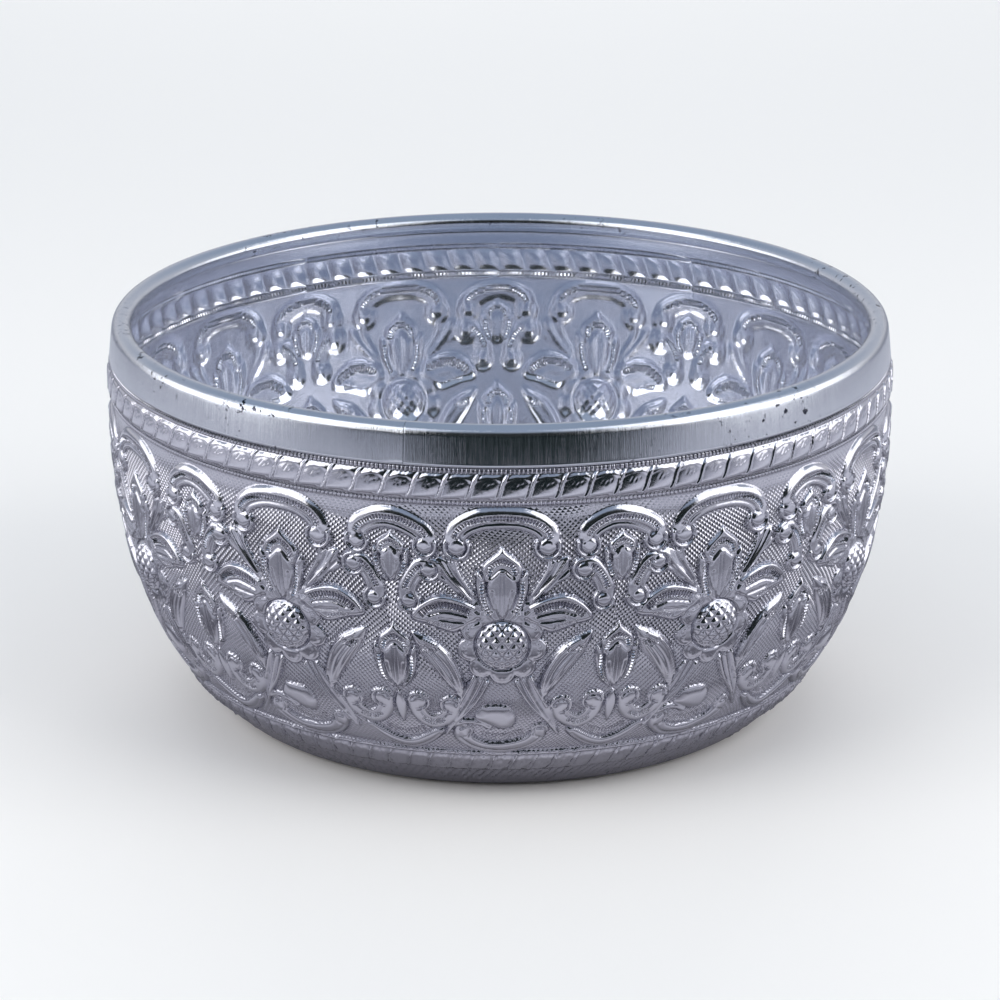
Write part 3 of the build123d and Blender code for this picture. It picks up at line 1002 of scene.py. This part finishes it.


# Painted reflection: rings of grey by distance from the bowl's middle, darker and lighter by turns, standing
# in for shade and light on the table that only the metal mirrors.
painted_reflection_rings = (
    (0.085, (0.345, 0.335, 0.35, 1)), (0.105, (0.66, 0.64, 0.665, 1)), (0.13, (0.11, 0.105, 0.12, 1)),
    (0.165, (0.50, 0.49, 0.515, 1)), (0.21, (0.22, 0.215, 0.235, 1)), (0.32, (0.66, 0.65, 0.68, 1)),
    (0.6, (0.32, 0.32, 0.35, 1)),
)
card("painted_reflection_card", 6.0, 6.0, (0, 0, -floor_drop / 2), painted_reflection_rings)
flag_wide, flag_tall = 0.56, 0.17
flag_black = (0.012, 0.018, 0.018, 1)
card("flag", flag_wide, flag_tall, (0.07, -0.5, flag_tall / 2), ((0.0, flag_black), (1.0, flag_black)), True)

# Light: a white tent, open and dark behind the camera, with a large softbox and a fill lamp on each side of
# the camera, a panel on each side of the bowl, and a lamp above and behind. Polished metal mirrors the side
# softboxes and the panels, and not the fill, top and back lamps.
tent_low, tent_high, opening_tone = (0.60, 0.61, 0.66, 1), (0.29, 0.36, 0.47, 1), (0.02, 0.024, 0.024, 1)
room = bpy.data.worlds.new("room")
room.use_nodes = True
sky = room.node_tree
way = add_node(sky, "ShaderNodeSeparateXYZ", Vector=coordinates(sky, "Generated")).outputs
tent = add_node(sky, "ShaderNodeValToRGB", Fac=way["Z"])
for stop, height, tone in zip(tent.color_ramp.elements, (0.1, 0.7), (tent_low, tent_high)):
    stop.position = height
    stop.color = tone
ahead = ranged(sky, way["Y"], -0.60, -0.78, easing="SMOOTHSTEP")
low = ranged(sky, way["Z"], 0.68, 0.5, easing="SMOOTHSTEP")
opening = reckon(sky, "MULTIPLY", ahead, low)
seen = mixed(sky, opening, tent.outputs["Color"], opening_tone)
feed(sky.nodes["Background"], Color=seen, Strength=1.0)
bpy.context.scene.world = room


def softbox(name, spot, aim, wide, tall, power, mirrored=True):
    """A flat lamp at a spot, turned to a point, that polished metal mirrors or not."""
    lamp = bpy.data.lights.new(name, "AREA")
    lamp.shape = "RECTANGLE"
    lamp.size = wide
    lamp.size_y = tall
    lamp.energy = power
    holder = bpy.data.objects.new(name, lamp)
    holder.visible_glossy = mirrored
    holder.location = spot
    beam = np.array(aim, float) - np.array(spot, float)
    level = math.hypot(beam[0], beam[1])
    holder.rotation_euler = (math.atan2(level, -beam[2]), 0, math.atan2(beam[1], beam[0]) - math.pi / 2)
    bpy.context.scene.collection.objects.link(holder)


wall_aim, lip_aim = (0, 0, 0.06), (0, 0, 0.1)
box_side, box_power, fill_power = 0.95, 4.2, 2.7
panel_wide, panel_tall, panel_power = 0.7, 0.36, 0.9
softbox("softbox_left", (-0.9, -0.6, 0.78), wall_aim, box_side, box_side, box_power)
softbox("fill_left", (-0.96, -0.64, 0.83), wall_aim, box_side, box_side, fill_power, mirrored=False)
softbox("softbox_right", (0.95, -0.5, 0.78), wall_aim, box_side, box_side, box_power)
softbox("fill_right", (1.01, -0.54, 0.83), wall_aim, box_side, box_side, fill_power, mirrored=False)
softbox("panel_left", (-0.75, -0.05, 0.2), lip_aim, panel_wide, panel_tall, panel_power)
softbox("panel_right", (0.75, -0.05, 0.2), lip_aim, panel_wide, panel_tall, panel_power)
softbox("softbox_back", (0, 1.75, 1.0), aim=(0, 0.95, 0), wide=1.6, tall=0.8, power=11.0, mirrored=False)
softbox("softbox_top", (0, -0.3, 1.7), aim=(0, -0.1, 0), wide=1.6, tall=1.6, power=5.0, mirrored=False)

# Camera: at the photograph's height and distance, with a long lens.
# It looks down on the bowl by so many degrees.
camera_down = 18.89
lens = bpy.data.cameras.new("camera")
lens.lens = 129.0
lens.sensor_width = 36.0
lens.shift_y = -0.018
lens.clip_start = 0.05
camera = bpy.data.objects.new("camera", lens)
camera.location = (0, -0.876, 0.354)
camera.rotation_euler = (math.radians(90 - camera_down), 0, 0)
bpy.context.scene.collection.objects.link(camera)
bpy.context.scene.camera = camera
bpy.context.scene.view_settings.view_transform = "Standard"
